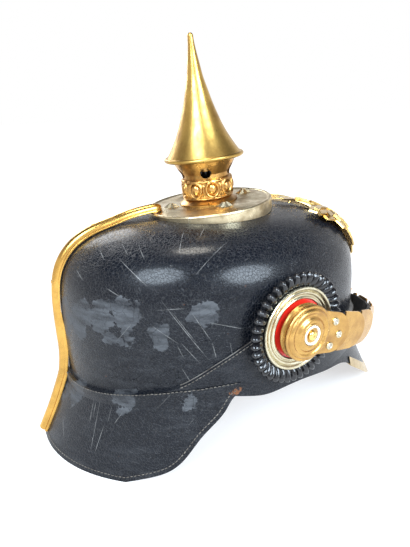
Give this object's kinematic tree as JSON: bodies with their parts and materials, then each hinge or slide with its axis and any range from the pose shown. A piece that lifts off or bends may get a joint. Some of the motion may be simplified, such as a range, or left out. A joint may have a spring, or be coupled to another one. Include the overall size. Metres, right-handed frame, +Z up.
{
  "type": "pickelhaube",
  "caption": "Black leather spiked helmet with flared neck guard, front visor, spread eagle plate, cockades and an articulated brass chin-scale strap.",
  "frame": {"origin": "on the table, under the middle of the leather shell", "axes": "-Y to the front of the helmet, -X to the wearer's right, +Z up out of the crown; the helmet stands on its neck guard and front visor"},
  "size_m": [0.2204, 0.2907, 0.2764],
  "materials": {
    "brass": "polished brass, streaked and tarnished",
    "pale_brass": "pale silvery brass with brown tarnish",
    "silver": "silvered sheet, slightly worn",
    "shell_leather": "black lacquered leather, crazed and scratched",
    "red_leather": "red leather lining",
    "green_leather": "green leather lining",
    "brown_leather": "brown leather",
    "liner_leather": "tan leather liner",
    "cockade_black": "black lacquered metal, pleated",
    "cockade_red": "red lacquer",
    "steel": "plain steel"
  },
  "bodies": {
    "helmet": {"shell": "shell_leather", "neck_guard": "shell_leather", "neck_guard_lining": "red_leather", "front_visor": "shell_leather", "front_visor_lining": "green_leather", "front_visor_trim": "pale_brass", "rear_spine": "brass", "spine_screws": "brass", "top_plate": "pale_brass", "star_studs": "brass", "crown_nuts": "steel", "spike_neck": "brass", "egg_band": "brass", "spike_socket": "brass", "front_plate": "brass", "front_plate_posts": "brass", "cockade_ring_right": "cockade_black", "cockade_ring_left": "cockade_black", "cockade_band_right": "silver", "cockade_band_left": "silver", "cockade_field_right": "cockade_red", "cockade_field_left": "cockade_red", "rosette_bolts": "brass", "rosette_nuts": "steel", "sweatband": "brown_leather", "liner": "liner_leather"},
    "spike": {"spike": "brass", "spike_stem": "steel"},
    "strap_right": {"rosette_right": "brass", "tab_rivets_right": "silver", "tab_leather_right": "brown_leather"},
    "chain_upper_right": {"chin_scale_right_1": "brass", "strap_leather_right_1": "brown_leather", "chin_scale_right_2": "brass", "strap_leather_right_2": "brown_leather", "chin_scale_right_3": "brass", "strap_leather_right_3": "brown_leather"},
    "chain_lower_right": {"chin_scale_right_4": "brass", "strap_leather_right_4": "brown_leather", "chin_scale_right_5": "brass", "strap_leather_right_5": "brown_leather", "chin_scale_right_6": "brass", "strap_leather_right_6": "brown_leather", "buckle": "brass"},
    "strap_left": {"rosette_left": "brass", "tab_rivets_left": "silver", "tab_leather_left": "brown_leather"},
    "chain_upper_left": {"chin_scale_left_1": "brass", "strap_leather_left_1": "brown_leather", "chin_scale_left_2": "brass", "strap_leather_left_2": "brown_leather", "chin_scale_left_3": "brass", "strap_leather_left_3": "brown_leather"},
    "chain_lower_left": {"chin_scale_left_4": "brass", "strap_leather_left_4": "brown_leather", "chin_scale_left_5": "brass", "strap_leather_left_5": "brown_leather", "chin_scale_left_6": "brass", "strap_leather_left_6": "brown_leather", "strap_tip": "brass"}
  },
  "joints": [
    {"name": "spike_lift", "type": "slide", "parent": "helmet", "child": "spike", "axis": [0, 0.0872, 0.9962], "range_m": [0, 0.026]},
    {"name": "strap_lift_right", "type": "hinge", "parent": "helmet", "child": "strap_right", "pos_m": [-0.0997, -0.01999, 0.0938], "axis": [-0.9848, -0.1736, 0], "range_deg": [0, 50]},
    {"name": "chain_bend_upper_right", "type": "hinge", "parent": "strap_right", "child": "chain_upper_right", "pos_m": [-0.09437, -0.05134, 0.08498], "axis": [-0.0464, 0.2632, -0.9636], "range_deg": [0, 10]},
    {"name": "chain_bend_lower_right", "type": "hinge", "parent": "chain_upper_right", "child": "chain_lower_right", "pos_m": [-0.06119, -0.10461, 0.06883], "axis": [-0.0464, 0.2632, -0.9636], "range_deg": [0, 12.7]},
    {"name": "strap_lift_left", "type": "hinge", "parent": "helmet", "child": "strap_left", "pos_m": [0.0997, -0.01999, 0.0938], "axis": [-0.9848, 0.1736, 0], "range_deg": [0, 50]},
    {"name": "chain_bend_upper_left", "type": "hinge", "parent": "strap_left", "child": "chain_upper_left", "pos_m": [0.09437, -0.05134, 0.08498], "axis": [-0.0464, -0.2632, 0.9636], "range_deg": [0, 10]},
    {"name": "chain_bend_lower_left", "type": "hinge", "parent": "chain_upper_left", "child": "chain_lower_left", "pos_m": [0.06119, -0.10461, 0.06883], "axis": [-0.0464, -0.2632, 0.9636], "range_deg": [0, 12.7]}
  ],
  "couplings": [
    {"joint": "chain_bend_upper_right", "follows": "strap_lift_right", "ratio": 0.2},
    {"joint": "chain_bend_lower_right", "follows": "strap_lift_right", "ratio": 0.254},
    {"joint": "chain_bend_upper_left", "follows": "strap_lift_left", "ratio": 0.2},
    {"joint": "chain_bend_lower_left", "follows": "strap_lift_left", "ratio": 0.254}
  ]
}
